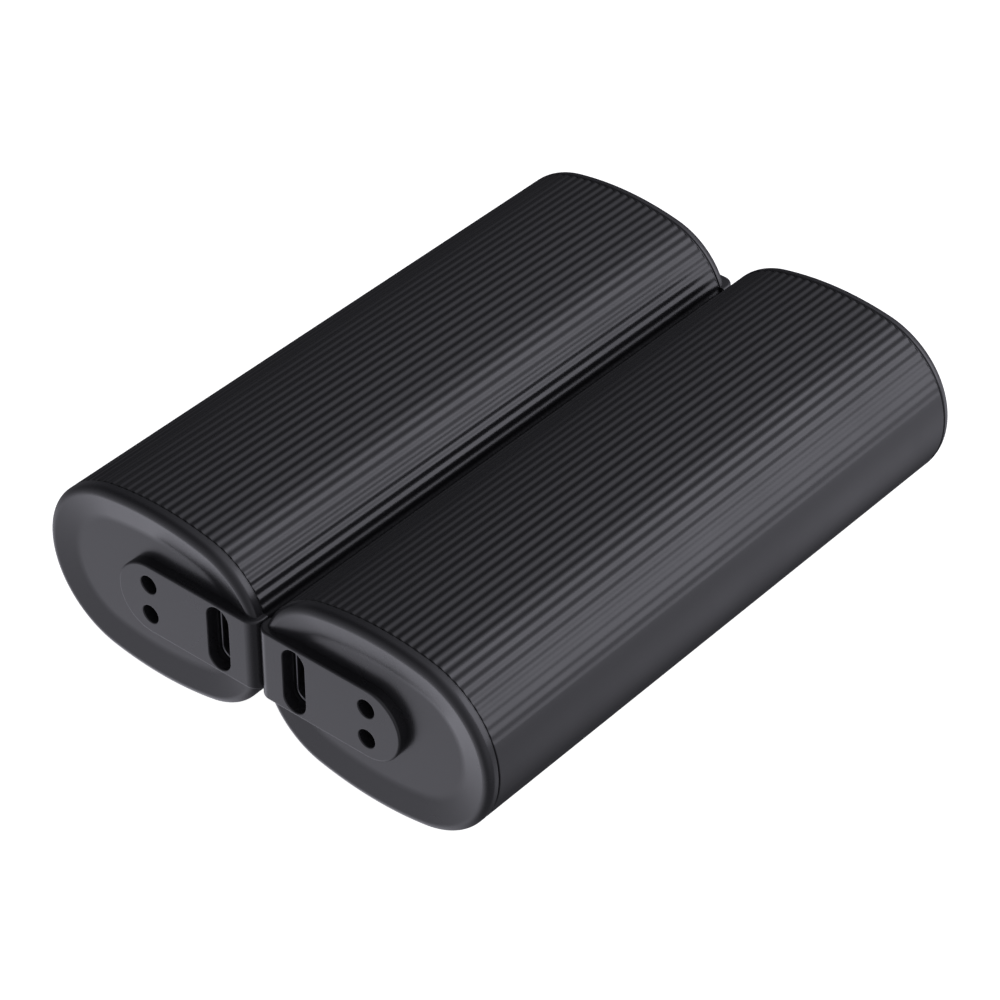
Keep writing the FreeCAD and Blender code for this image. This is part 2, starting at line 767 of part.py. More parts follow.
def make_main_board(unit):
    body = new_body(unit, "main_board")
    box(body, "board", ("board_face", "board_face + board_thickness"),
        ("-bulkhead_front", "plate_back - board_nose"), both_ways("board_height / 2"))
    return body


def make_board_parts(unit):
    body = new_body(unit, "board_parts")
    pieces = [
        ("coil", "0", "coil_side", "coil_side", "coil_height"),
        ("chip", "chip_spacing", "chip_side", "chip_side", "chip_height"),
        ("capacitor", "-chip_spacing", "capacitor_length", "capacitor_width", "capacitor_height"),
    ]
    for name, middle, length, width, height in pieces:
        box(body, name, (f"board_face - {height}", "board_face"), about(middle, f"{length} / 2"),
            both_ways(f"{width} / 2"))
    return body


def make_button_board(unit):
    body = new_body(unit, "button_board", rear=True)
    box(body, "board", ("end_room + part_clearance", "boss_reach + switch_side / 2 + switch_margin"),
        ("rear_board", "switch_base"), both_ways("switch_side / 2 + switch_margin"))
    return body


def make_button_flex(unit):
    body = new_body(unit, "button_flex", rear=True)
    across = ("board_face - flex_thickness", "board_face")
    width = both_ways("flex_width / 2")
    box(body, "board_lap", across, ("bulkhead_front - flex_lap", "rear_board"), width)
    box(body, "rear_lap", (across[0], "board_face + flex_lap"),
        ("rear_board - flex_thickness", "rear_board"), width)
    return body


def make_tact_switch(unit):
    body = new_body(unit, "tact_switch", rear=True)
    half = "switch_side / 2"
    box(body, "case", about("boss_reach", half), ("switch_base", "switch_top"), both_ways(half))
    room = "stem_side / 2 + stem_clearance"
    box(body, "stem_well", about("boss_reach", room), ("switch_top - stem_well", "switch_top + overrun"),
        both_ways(room), cut=True)
    return body


def make_switch_stem(unit):
    body = new_body(unit, "switch_stem", rear=True)
    half = "stem_side / 2"
    box(body, "stem", about("boss_reach", half), ("switch_top - stem_root", "stem_top"), both_ways(half))
    return body


def make_power_button(unit):
    body = new_body(unit, "power_button", rear=True)
    radius = "button_diameter / 2"
    turned(body, "button", "boss_reach", [
        ("0", "flange_back"), (radius, "flange_back"), (radius, "button_top - button_bevel"),
        (f"{radius} - button_bevel", "button_top"), ("0", "button_top"),
    ])
    half = "flange_side / 2"
    box(body, "flange", about("boss_reach", half), ("flange_back", "flange_front"), both_ways(half))
    return body


def make_light_pipe(unit):
    body = new_body(unit, "light_pipe", rear=True)
    box(body, "bar", ("lamp_offset - pipe_margin", "lamp_last + pipe_margin"),
        ("lamp_top + lamp_air", "plate_back - press_gap"), both_ways("pipe_bar / 2"))
    for lamp in range(LAMP_COUNT):
        box(body, f"prong_{lamp}", about(f"lamp_offset + {lamp} * lamp_pitch", "prong_width / 2"),
            ("lamp_top + lamp_air", "boss_level - press_gap"), both_ways("pipe_bar / 2"))
    return body


def make_lamps(unit):
    body = new_body(unit, "lamps", rear=True)
    for lamp in range(LAMP_COUNT):
        box(body, f"lamp_{lamp}", about(f"lamp_offset + {lamp} * lamp_pitch", "lamp_length / 2"),
            ("switch_base", "lamp_top"), both_ways("lamp_width / 2"))
    return body


def make_heater(unit, side):
    """A heater film lying against the inside of the sleeve, over its crown or under its belly."""
    body = new_body(unit, f"{side}_heater")
    inner = "shell_wall + film_gap"
    ring = oval_sketch(body, "film", "-film_length / 2", inner, f"{inner} + film_thickness")
    pad(body, "film", ring, "film_length")
    away = ("-half_height", "film_edge") if side == "upper" else ("-film_edge", "half_height")
    box(body, "open_side", ("0", "half_width"), both_ways("film_length / 2 + overrun"), away, cut=True)
    return body


def make_heat_sensor(unit):
    body = new_body(unit, "heat_sensor")
    box(body, "bead", about("crown_offset", "sensor_length / 2"), both_ways("sensor_width / 2"),
        ("sensor_top - sensor_height", "sensor_top"))
    return body


def make_magnets(unit):
    body = new_body(unit, "magnets")
    for sign, end in (("", "front"), ("-", "rear")):
        box(body, f"{end}_block", ("shell_wall + magnet_depth", "magnet_inner"),
            about(f"{sign}magnet_spacing / 2", "magnet_length / 2"), both_ways("magnet_height / 2"))
    return body


MAKERS = [
    make_shell, make_charge_cap, make_switch_cap, make_usb_shell, make_usb_tongue,
    make_chassis_tray, make_chassis_cover,
    make_battery_cell, make_cell_tabs, make_main_board, make_board_parts, make_button_board,
    make_button_flex, make_tact_switch, make_switch_stem, make_power_button, make_light_pipe, make_lamps,
    make_heat_sensor, make_magnets,
]

pieces = []
for unit in ("left", "right"):
    pieces += [maker(unit) for maker in MAKERS]
    pieces += [make_heater(unit, side) for side in ("upper", "lower")]

doc.recompute()
for thing in doc.Objects:
    if "Invalid" in thing.State or "Error" in thing.State:
        raise RuntimeError(f"{thing.Label} failed: {thing.State}")
os.makedirs("parts", exist_ok=True)
for piece in pieces:
    if piece.Shape.isNull() or not piece.Shape.isValid():
        raise RuntimeError(f"{piece.Label} has no valid shape")
for piece in pieces:
    piece.Shape.exportStep(os.path.join("parts", f"{piece.Label}.step"))
print(len(pieces), "pieces,", round(value("2 * half_width + mate_gap"), 2), "x",
      round(value("2 * boss_level"), 2), "x", round(value("2 * half_height"), 2), "mm")
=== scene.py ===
"""Looks of a two-in-one rechargeable hand warmer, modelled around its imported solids."""

import json
import math

import bmesh
import bpy
from bpy.props import FloatProperty, FloatVectorProperty, IntProperty, PointerProperty
from bpy.types import Operator, Panel, PropertyGroup
from mathutils import Matrix, Vector


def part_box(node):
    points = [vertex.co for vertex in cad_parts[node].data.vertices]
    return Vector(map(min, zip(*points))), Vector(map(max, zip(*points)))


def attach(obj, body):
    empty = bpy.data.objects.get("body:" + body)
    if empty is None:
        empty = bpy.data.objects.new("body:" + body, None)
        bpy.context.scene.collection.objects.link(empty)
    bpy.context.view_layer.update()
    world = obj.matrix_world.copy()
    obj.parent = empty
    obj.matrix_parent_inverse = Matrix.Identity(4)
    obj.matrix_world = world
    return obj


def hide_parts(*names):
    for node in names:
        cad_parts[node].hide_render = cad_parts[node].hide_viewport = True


bl_info = {
    "name": "Hand warmer looks",
    "version": (1, 0, 0),
    "blender": (4, 5, 0),
    "location": "View3D > Sidebar > Hand Warmer",
    "description": "Models and finishes a pair of ribbed hand warmers around their solids",
    "category": "Object",
}

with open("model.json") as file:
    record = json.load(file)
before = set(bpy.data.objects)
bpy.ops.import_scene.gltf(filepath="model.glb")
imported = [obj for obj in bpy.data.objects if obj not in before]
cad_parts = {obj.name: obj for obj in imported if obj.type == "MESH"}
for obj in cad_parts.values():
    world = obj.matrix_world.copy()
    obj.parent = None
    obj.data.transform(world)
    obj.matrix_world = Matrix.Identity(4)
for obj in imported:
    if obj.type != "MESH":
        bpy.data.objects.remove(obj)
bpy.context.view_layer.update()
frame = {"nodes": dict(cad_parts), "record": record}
MM = 0.001
UNITS = ("left", "right")

# A unit's own frame is the right-hand unit's: x outwards from the face where the units meet, z from
# mid-height, and "forward" the distance from mid-length towards an end. A point there is (x, -forward, z).
SHELL_LOW, SHELL_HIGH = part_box("right_shell")
SOCKET_LOW, SOCKET_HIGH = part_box("right_usb_shell")
TONGUE_LOW, TONGUE_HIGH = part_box("right_usb_tongue")
BUTTON_LOW, BUTTON_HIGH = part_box("right_power_button")
PIPE_LOW, PIPE_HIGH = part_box("right_light_pipe")
HALF_GAP = SHELL_LOW.x
HALF_HEIGHT = (SHELL_HIGH.z - SHELL_LOW.z) / 2
HALF_WIDTH = SHELL_HIGH.x - SHELL_LOW.x
SHELL_END = SHELL_HIGH.y
BOSS_LEVEL = -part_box("right_charge_cap")[0].y
CORD_MOUNT = next(m for m in frame["record"]["mounts"] if m["name"] == "right_cord_hole_upper")

# Steps in which the round forms are drawn.
OVAL_STEPS = 160
BAND_STEPS = 12
RIB_STEPS = 10
CREST_STEPS = 16
BLEND_STEPS = 6
BOSS_STEPS = 48
CORNER_STEPS = 12
EDGE_STEPS = 5
HOLE_STEPS = 40
SLOT_STEPS = 20
MOUTH_STEPS = 5
LIP_STEPS = 6
BUTTON_STEPS = 64
DISH_STEPS = 14
WINDOW_STEPS = 10
# A small rounding, as shares of its radius along one face and along the other.
SMALL_ROUND = ((0.0, 1.0), (0.3, 0.3), (1.0, 0.0))
# Radius that closes the middle of a turned form.
POLE = 0.02 * MM
# The camera's sensor, in its own millimetres, and the nearest that it sees.
SENSOR_WIDTH = 36.0
NEAR_CLIP = 10 * MM
# How far a face's direction may be off for it to count as square.
SQUARE = 0.01


def length(name, description, default, **more):
    """A size in metres."""
    return FloatProperty(name=name, description=description, default=default, unit="LENGTH",
                         subtype="DISTANCE", precision=5, **more)


def colour(name, description, default):
    """A colour, or a tint of the light."""
    return FloatVectorProperty(name=name, description=description, default=default, size=3,
                               subtype="COLOR", min=0.0, max=1.0)


class WarmerShape(PropertyGroup):
    """Sizes of the sleeves, caps and sockets."""

    crown_radius: length("Crown radius", "Radius of the sleeve's top and bottom", 40.6 * MM)
    crown_offset: length("Crown offset", "From the mating face to the highest line of the sleeve", 17.4 * MM)
    mate_flat: length("Mating flat", "Height of the narrow flat where the units meet", 2.2 * MM)
    wall: length("Wall", "Thickness of the sleeve", 1.6 * MM)
    rib_pitch: length("Rib pitch", "From one groove to the next", 1.225 * MM)
    rib_depth: length("Rib depth", "Depth of the grooves", 0.14 * MM)
    rib_fade: length("Rib fade", "Over which the ribs grow to their full depth", 6.5 * MM)
    rib_least: FloatProperty(
        name="Least rib", description="Share of their depth that the ribs have beside the smooth band",
        default=0.35, min=0.0, max=1.0, subtype="FACTOR")
    smooth_band: length("Smooth band", "Height of the plain band on the outer side", 9.2 * MM)
    mate_band: length("Mating band", "Height of the plain band where the units meet", 6.3 * MM)
    end_round: length("End rounding", "Rounding of the sleeve's cut ends", 0.12 * MM)
    rim_back: length("Rim back", "Forward level of the back of a cap's rim", 43.15 * MM)
    crest_level: length("Crest", "Forward level of a cap's crest", 44.8 * MM)
    crest_radius: length("Crest radius", "Rounding of a cap's crest", 1.0 * MM)
    rear_crest: length("Rear crest", "Rounding of a rear cap's crest", 1.5 * MM)
    floor_level: length("Dish floor", "Forward level of a cap's dished face", 44.15 * MM)
    dish_width: length("Dish width", "From a cap's edge to the flat of its dish", 4.4 * MM)
    dish_blend: length("Dish blend", "Radius where the dish's slope meets its flat", 5.0 * MM)
    gap_depth: length("Gap depth", "Depth of the shadow gap between the sleeve and a cap", 0.15 * MM)
    collar_gap: length("Collar gap", "From the sleeve's end to the collar of a cap", 0.04 * MM)
    spigot_inset: length("Spigot inset", "From the sleeve's outside to a cap's spigot", 1.7 * MM)
    spigot_end: length("Spigot end", "Forward level of the end of a cap's spigot", 41.5 * MM)
    boss_reach: length("Boss reach", "From the mating face to the centre of a boss's round end", 17.2 * MM)
    boss_radius: length("Boss radius", "Half the height of a boss", 5.1 * MM)
    boss_corner: length("Boss corner", "Rounding of a boss where the units meet", 1.7 * MM)
    boss_edge: length("Boss edge", "Rounding of a boss's other edges", 0.3 * MM)
    socket_wall: length("Socket wall", "Thickness of a socket's shell", 0.3 * MM)
    mouth_clearance: length("Mouth clearance", "From the socket to the slot round it", 0.13 * MM)
    button_clearance: length("Button clearance", "Between a button and its bore", 0.15 * MM)
    mouth_round: length("Mouth rounding", "Rounding of the slots and holes", 0.18 * MM)
    hole_depth: length("Hole depth", "How deep the holes go in the caps", 3.35 * MM)
    tongue_thickness: length("Tongue thickness", "Thickness of a socket's tongue", 0.7 * MM)
    tongue_width: length("Tongue width", "Width of a socket's tongue", 6.7 * MM)
    tongue_base: length("Tongue base", "Depth of the moulding that carries a tongue", 2.4 * MM)
    tongue_lap: length("Tongue lap", "From the moulding's back to the tongue's root", 2.0 * MM)
    tongue_edge: length("Tongue edge", "Rounding of a tongue", 0.12 * MM)
    contact_pitch: length("Contact pitch", "From one contact of the tongue to the next", 0.5 * MM)
    contact_width: length("Contact width", "Width of a contact", 0.25 * MM)
    contact_length: length("Contact length", "Length of a contact", 2.6 * MM)
    contact_rise: length("Contact rise", "How far a contact stands out of the tongue", 0.03 * MM)
    contact_setback: length("Contact setback", "From the tongue's tip to its contacts", 0.5 * MM)
    contact_count: IntProperty(
        name="Contacts", description="Contacts on each side of a tongue", default=12, min=1)
    button_dish: length("Button dish", "Depth of the hollow in a button", 0.35 * MM)
    button_lip: length("Button lip", "From a button's side to its hollow", 0.42 * MM)
    flange_thickness: length("Flange thickness", "Thickness of a button's flange", 0.8 * MM)
    window_clearance: length("Window clearance", "Between a light window and its slot", 0.03 * MM)
    window_round: length("Window rounding", "Rounding of a light window's face", 0.1 * MM)
    prong_lap: length("Prong lap", "How far a light window runs into the bar behind it", 0.3 * MM)
    bar_setback: length("Bar setback", "From a button's top to the bar of the light windows", 3.35 * MM)
    bar_edge: length("Bar edge", "Rounding of the bar of the light windows", 0.15 * MM)


class WarmerFinish(PropertyGroup):
    """Colours of the pieces."""

    sleeve: colour("Sleeve", "Black anodised aluminium", (0.007, 0.007, 0.0076))
    cap: colour("Cap", "Charcoal moulding", (0.015, 0.015, 0.0160))
    button: colour("Button", "Button moulding", (0.010, 0.010, 0.011))
    socket: colour("Socket", "Steel of the charging socket", (0.30, 0.30, 0.31))
    tongue: colour("Tongue", "Plastic of the socket's tongue", (0.008, 0.008, 0.009))
    contact: colour("Contact", "Gold plating of the contacts", (0.55, 0.38, 0.16))
    window: colour("Light window", "Frosted clear plastic", (0.62, 0.63, 0.65))
    floor: colour("Floor", "Pale seamless floor", (0.35, 0.35, 0.35))


class WarmerStage(PropertyGroup):
    """Camera and lights."""

    camera_place: FloatVectorProperty(
        name="Camera place", description="Where the camera stands", size=3, subtype="TRANSLATION",
        unit="LENGTH", default=(242.5 * MM, -286.0 * MM, 303.4 * MM))
    camera_azimuth: FloatProperty(
        name="Azimuth", description="Turn of the view about the vertical", subtype="ANGLE",
        default=math.radians(40.47))
    camera_elevation: FloatProperty(
        name="Elevation", description="Tilt of the view above the horizon", subtype="ANGLE",
        default=math.radians(38.12))
    camera_roll: FloatProperty(
        name="Roll", description="Turn of the view about its own axis", subtype="ANGLE",
        default=math.radians(-0.21))
    lens: FloatProperty(
        name="Lens", description="Focal length on a 36 mm sensor", subtype="DISTANCE_CAMERA", default=138.36)
    floor_size: length("Floor size", "Side of the floor", 8.0)
    floor_white: FloatProperty(
        name="Floor white", description="Glow of the floor as the camera sees it", default=1.0, min=0.0)
    tint: colour("Light tint", "Cool tint of the soft glows and the soft box", (0.90, 0.893, 1.0))
    brightness: FloatProperty(
        name="Brightness", description="Strength of all the lights together", default=1.085, min=0.0)
    ambient: FloatProperty(
        name="Ambient", description="Light that comes from all sides alike", default=0.02, min=0.0)


# Outlines

class Oval:
    """The sleeve's section: side, crown and mating arcs and the flat, with the outward direction along it."""

    def __init__(self, shape):
        run = HALF_WIDTH - shape.crown_offset
        rise = HALF_HEIGHT - shape.mate_flat / 2
        crown = shape.crown_radius
        side = (2 * crown * HALF_HEIGHT - HALF_HEIGHT ** 2 - run ** 2) / (2 * (crown - run))
        mate = (2 * crown * rise - rise ** 2 - shape.crown_offset ** 2) / (2 * (crown - shape.crown_offset))
        crown_centre = Vector((shape.crown_offset, HALF_HEIGHT - crown))
        side_centre = Vector((HALF_WIDTH - side, 0.0))
        mate_centre = Vector((mate, shape.mate_flat / 2))
        turns = [math.atan2(*reversed(centre - crown_centre)) for centre in (side_centre, mate_centre)]
        self.arcs = [(side_centre, side, 0.0, turns[0]), (crown_centre, crown, *turns),
                     (mate_centre, mate, turns[1], math.pi)]
        self.flat = shape.mate_flat / 2
        self.half = sum(radius * (stop - start) for _, radius, start, stop in self.arcs) + self.flat

    def station(self, along):
        """Place and outward direction at a length along the upper half from the outer side's middle."""
        for centre, radius, start, stop in self.arcs:
            span = radius * (stop - start)
            if along <= span:
                angle = start + along / radius
                out = Vector((math.cos(angle), math.sin(angle)))
                return centre + radius * out, out
            along -= span
        return Vector((0.0, max(self.flat - along, 0.0))), Vector((-1.0, 0.0))

    def loop(self, lengths):
        """Stations right round the oval: the upper half's lengths, then the same lengths below."""
        upper = [self.station(along) for along in lengths]
        lower = [(Vector((p.x, -p.y)), Vector((out.x, -out.y))) for p, out in reversed(upper[1:-1])]
        return upper + lower

    def even_loop(self, count):
        """Stations right round the oval at even lengths, so many for each half."""
        return self.loop([self.half * step / count for step in range(count + 1)])


def ring(stations, inset, forward):
    """A ring of the oval, drawn in by an inset, at a forward level."""
    return [Vector((p.x - out.x * inset, -forward, p.y - out.y * inset)) for p, out in stations]


def stadium(middle, half_length, radius, steps):
    """Places and outward directions round an upright slot with full-round ends."""
    stations = []
    for sign in (1, -1):
        centre = Vector((middle, sign * (half_length - radius)))
        for step in range(steps + 1):
            angle = math.pi * step / steps + (0 if sign > 0 else math.pi)
            out = Vector((math.cos(angle), math.sin(angle)))
            stations.append((centre + radius * out, out))
    return stations


def circle(middle, height, radius, steps):
    """Places and outward directions round a hole or a shaft."""
    angles = [2 * math.pi * step / steps for step in range(steps)]
    outs = [Vector((math.cos(angle), math.sin(angle))) for angle in angles]
    return [(Vector((middle, height)) + radius * out, out) for out in outs]


def pill(start, reach, radius, steps):
    """Outline of a boss from its start by the mating face to its round end."""
    points = [Vector((start, -radius))]
    for step in range(steps + 1):
        angle = math.pi * (step / steps - 0.5)
        points.append(Vector((reach + radius * math.cos(angle), radius * math.sin(angle))))
    points.append(Vector((start, radius)))
    return points


# Meshes

def build(name, rings, joined=False):
    """A closed mesh through rings of like count: its ends filled, or its last ring joined to its first."""
    count = len(rings[0])
    faces = []
    for row in range(len(rings) - (not joined)):
        here = row * count
        after = (row + 1) % len(rings) * count
        for step in range(count):
            other = (step + 1) % count
            faces.append((here + step, here + other, after + other, after + step))
    if not joined:
        faces.append(tuple(range(count)))
        faces.append(tuple(range((len(rings) - 1) * count, len(rings) * count)))
    mesh = bpy.data.meshes.new(name)
    mesh.from_pydata([tuple(p) for points in rings for p in points], [], faces)
    outwards(mesh)
    return mesh


def outwards(mesh):
    """Turn all faces outwards."""
    bm = bmesh.new()
    bm.from_mesh(mesh)
    bmesh.ops.recalc_face_normals(bm, faces=bm.faces)
    bm.to_mesh(mesh)
    bm.free()


def block(name, low, high, edge, segments=3):
    """A box between two corners with rounded edges."""
    bm = bmesh.new()
    bmesh.ops.create_cube(bm, size=1.0)
    size = Vector(high) - Vector(low)
    bmesh.ops.scale(bm, vec=size, verts=bm.verts)
    bmesh.ops.translate(bm, vec=(Vector(low) + Vector(high)) / 2, verts=bm.verts)
    if edge > 0:
        bmesh.ops.bevel(bm, geom=bm.edges[:], offset=edge, segments=segments, profile=0.5, affect="EDGES")
    mesh = bpy.data.meshes.new(name)
    bm.to_mesh(mesh)
    bm.free()
    return mesh


def lathe(name, x, profile, steps):
    """A solid of revolution about a line along the unit: pairs of radius and forward level."""
    rings = [ring(circle(x, 0.0, radius, steps), 0.0, forward) for radius, forward in profile]
    return build(name, rings)


def combine(name, meshes):
    """One mesh of several that don't touch."""
    bm = bmesh.new()
    for mesh in meshes:
        bm.from_mesh(mesh)
        bpy.data.meshes.remove(mesh)
    joined = bpy.data.meshes.new(name)
    bm.to_mesh(joined)
    bm.free()
    return joined


def boolean(mesh, other, operation):
    """The first mesh joined with, or cut by, the other."""
    pair = [bpy.data.objects.new(f"{operation}_{number}", data) for number, data in enumerate((mesh, other))]
    for thing in pair:
        bpy.context.scene.collection.objects.link(thing)
    step = pair[0].modifiers.new(operation, "BOOLEAN")
    step.operation = operation
    step.object = pair[1]
    step.solver = "EXACT"
    shown = pair[0].evaluated_get(bpy.context.evaluated_depsgraph_get())
    made = bpy.data.meshes.new_from_object(shown)
    for thing in pair:
        data = thing.data
        bpy.data.objects.remove(thing)
        bpy.data.meshes.remove(data)
    return made


def seat(unit, rear=False):
    """The turn and shift that put a unit's own frame into the pair's; a rear piece is turned end for end."""
    sign = 1 if unit == "right" else -1
    place = Matrix.Translation((sign * HALF_GAP, 0, HALF_HEIGHT))
    if unit == "left":
        place = place @ Matrix.Rotation(math.pi, 4, "Y")
    return place @ Matrix.Rotation(math.pi, 4, "X") if rear else place


def piece(unit, name, mesh, material, nodes=(), body="unit", rear=False, sharp=35.0):
    """A shown object of one unit, from a mesh drawn in the unit's own frame."""
    mesh = mesh.copy()
    mesh.transform(seat(unit, rear))
    mesh.name = f"{unit}_{name}"
    mesh.materials.clear()
    mesh.materials.append(material)
    mesh.shade_smooth()
    mesh.set_sharp_from_angle(angle=math.radians(sharp))
    made = bpy.data.objects.new(f"{unit}_{name}", mesh)
    bpy.context.scene.collection.objects.link(made)
    weighted = made.modifiers.new("even_shading", "WEIGHTED_NORMAL")
    weighted.keep_sharp = True
    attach(made, f"{unit}_{body}")
    if nodes:
        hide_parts(*[f"{unit}_{covered}" for covered in nodes])
    return made


# Finishes

def group(name, inputs, outputs):
    """An empty shader node group with named sockets, and whether it is new."""
    found = bpy.data.node_groups.get(name)
    if found:
        return found, False
    tree = bpy.data.node_groups.new(name, "ShaderNodeTree")
    for socket, default in inputs.items():
        made = tree.interface.new_socket(socket, in_out="INPUT", socket_type="NodeSocketFloat")
        made.default_value = default
    for socket in outputs:
        tree.interface.new_socket(socket, in_out="OUTPUT", socket_type="NodeSocketFloat")
    return tree, True


def node(tree, kind, **values):
    """A shader node with its settings and input values."""
    made = tree.nodes.new(f"ShaderNode{kind}")
    for name, setting in values.items():
        if hasattr(made, name):
            setattr(made, name, setting)
        else:
            made.inputs[name].default_value = setting
    return made


def noise(tree, place, scale, detail):
    """A noise texture over a place, with its scale from a socket."""
    made = node(tree, "TexNoise", Detail=detail)
    tree.links.new(place, made.inputs["Vector"])
    tree.links.new(scale, made.inputs["Scale"])
    return made


def grain_group():
    """Fine moulded or blasted grain, with slow patches as handling leaves them."""
    tree, new = group("surface_grain", {"Grain Scale": 6000.0, "Patch Scale": 90.0}, ("Grain", "Patches"))
    if not new:
        return tree
    here = node(tree, "TexCoord").outputs["Object"]
    sockets = node_ends(tree)
    grain = noise(tree, here, sockets[0].outputs["Grain Scale"], 3.0)
    patch = noise(tree, here, sockets[0].outputs["Patch Scale"], 4.0)
    spread = node(tree, "MapRange")
    spread.inputs["From Min"].default_value = 0.3
    spread.inputs["From Max"].default_value = 0.7
    tree.links.new(patch.outputs["Fac"], spread.inputs["Value"])
    tree.links.new(grain.outputs["Fac"], sockets[1].inputs["Grain"])
    tree.links.new(spread.outputs["Result"], sockets[1].inputs["Patches"])
    return tree


def lines_group():
    """Fine lines along the unit, as drawing and rolling leave them."""
    tree, new = group("drawn_lines", {"Line Scale": 5000.0, "Stretch": 0.004}, ("Lines",))
    if not new:
        return tree
    sockets = node_ends(tree)
    stretch = node(tree, "CombineXYZ", X=1.0, Z=1.0)
    tree.links.new(sockets[0].outputs["Stretch"], stretch.inputs["Y"])
    place = node(tree, "VectorMath", operation="MULTIPLY")
    tree.links.new(node(tree, "TexCoord").outputs["Object"], place.inputs[0])
    tree.links.new(stretch.outputs["Vector"], place.inputs[1])
    lines = noise(tree, place.outputs["Vector"], sockets[0].outputs["Line Scale"], 2.0)
    tree.links.new(lines.outputs["Fac"], sockets[1].inputs["Lines"])
    return tree


def node_ends(tree):
    """The input and output nodes of a group."""
    return tree.nodes.new("NodeGroupInput"), tree.nodes.new("NodeGroupOutput")


def place_group(tree, used, **values):
    """A node group placed in a material, with its own values."""
    made = tree.nodes.new("ShaderNodeGroup")
    made.node_tree = used
    for name, number in values.items():
        made.inputs[name.replace("_", " ").title()].default_value = number
    return made


def finish(name, base, spread=0.18, roughness=(0.40, 0.50), grain_scale=6000.0, patch_scale=90.0,
           bump=0.25, relief=0.02 * MM, metallic=0.0, lines=0.0, **settings):
    """A material whose colour, gloss and relief vary with its grain, its patches and its drawn lines."""
    material = bpy.data.materials.new(name)
    material.use_nodes = True
    tree = material.node_tree
    shader = tree.nodes["Principled BSDF"]
    grain = place_group(tree, grain_group(), grain_scale=grain_scale, patch_scale=patch_scale)
    height = grain.outputs["Grain"]
    if lines:
        drawn = place_group(tree, lines_group(), line_scale=lines)
        both = node(tree, "Math", operation="MULTIPLY")
        tree.links.new(height, both.inputs[0])
        tree.links.new(drawn.outputs["Lines"], both.inputs[1])
        height = both.outputs["Value"]
    tint = node(tree, "Mix", data_type="RGBA")
    tint.inputs["A"].default_value = (*[c * (1 - spread) for c in base], 1.0)
    tint.inputs["B"].default_value = (*[c * (1 + spread) for c in base], 1.0)
    tree.links.new(height, tint.inputs["Factor"])
    tree.links.new(tint.outputs["Result"], shader.inputs["Base Color"])
    gloss = node(tree, "MapRange")
    gloss.inputs["To Min"].default_value, gloss.inputs["To Max"].default_value = roughness
    tree.links.new(grain.outputs["Patches"], gloss.inputs["Value"])
    tree.links.new(gloss.outputs["Result"], shader.inputs["Roughness"])
    relief_node = node(tree, "Bump", Strength=bump, Distance=relief)
    tree.links.new(height, relief_node.inputs["Height"])
    tree.links.new(relief_node.outputs["Normal"], shader.inputs["Normal"])
    shader.inputs["Metallic"].default_value = metallic
    for socket, setting in settings.items():
        shader.inputs[socket.replace("_", " ")].default_value = setting
    return material


def anodised(base):
    """Black anodised aluminium with drawn lines along the sleeve."""
    return finish("anodised_sleeve", base, spread=0.25, roughness=(0.34, 0.42), grain_scale=9000.0,
                  patch_scale=70.0, bump=0.15, relief=0.01 * MM, lines=4000.0, IOR=1.5)


def moulded(name, base):
    """Satin moulding with a fine grain, made once for each name."""
    found = bpy.data.materials.get(name)
    if found:
        return found
    return finish(name, base, spread=0.15, roughness=(0.23, 0.29), grain_scale=7000.0, bump=0.15, IOR=1.47)


# Pieces

class WarmerOperator:
    """What the operators share: undo, the pair's sizes and its colours."""

    bl_options = {"REGISTER", "UNDO"}

    def shape(self, context):
        """The pair's sizes."""
        return context.scene.warmer_shape

    def colours(self, context):
        """The pair's colours."""
        return context.scene.warmer_finish


class WARMER_OT_sleeves(WarmerOperator, Operator):
    """Model the ribbed sleeves"""

    bl_idname = "warmer.sleeves"
    bl_label = "Sleeves"

    def execute(self, context):
        mesh = self.mesh(self.shape(context))
        material = anodised(self.colours(context).sleeve)
        for unit in UNITS:
            piece(unit, "ribbed_sleeve", mesh, material, ["shell"], sharp=50.0)
        return {"FINISHED"}

    def mesh(self, shape):
        """A ribbed tube with rounded ends."""
        oval = Oval(shape)
        lengths, insets = self.ribbing(shape, oval)
        stations = oval.loop(lengths)
        insets = insets + insets[-2:0:-1]
        rings = []
        for side in (1, -1):
            for back, drawn in SMALL_ROUND[::side]:
                forward = side * (SHELL_END - back * shape.end_round)
                rings.append([ring([station], inset + drawn * shape.end_round, forward)[0]
                              for station, inset in zip(stations, insets)])
        for side in (-1, 1):
            rings.append(ring(stations, shape.wall, side * SHELL_END))
        return build("sleeve", rings, joined=True)

    def ribbing(self, shape, oval):
        """Lengths along the upper half, and how far the surface is drawn in there, groove by groove."""
        low = shape.smooth_band / 2
        room = oval.half - shape.mate_band / 2 - low
        count = int(room / shape.rib_pitch)
        first = low + (room - (count - 1) * shape.rib_pitch) / 2
        start = first - shape.rib_pitch / 2
        lengths = [start * step / BAND_STEPS for step in range(BAND_STEPS)]
        insets = [0.0] * BAND_STEPS
        for number in range(count):
            middle = first + number * shape.rib_pitch
            grown = min((middle - start) / shape.rib_fade, 1.0)
            depth = shape.rib_depth * (shape.rib_least + (1 - shape.rib_least) * grown)
            for step in range(RIB_STEPS):
                share = step / RIB_STEPS - 0.5
                lengths.append(middle + share * shape.rib_pitch)
                insets.append(depth * (0.5 + 0.5 * math.cos(2 * math.pi * share)))
        stop = start + count * shape.rib_pitch
        lengths += [stop + (oval.half - stop) * step / BAND_STEPS for step in range(BAND_STEPS + 1)]
        insets += [0.0] * (BAND_STEPS + 1)
        return lengths, insets


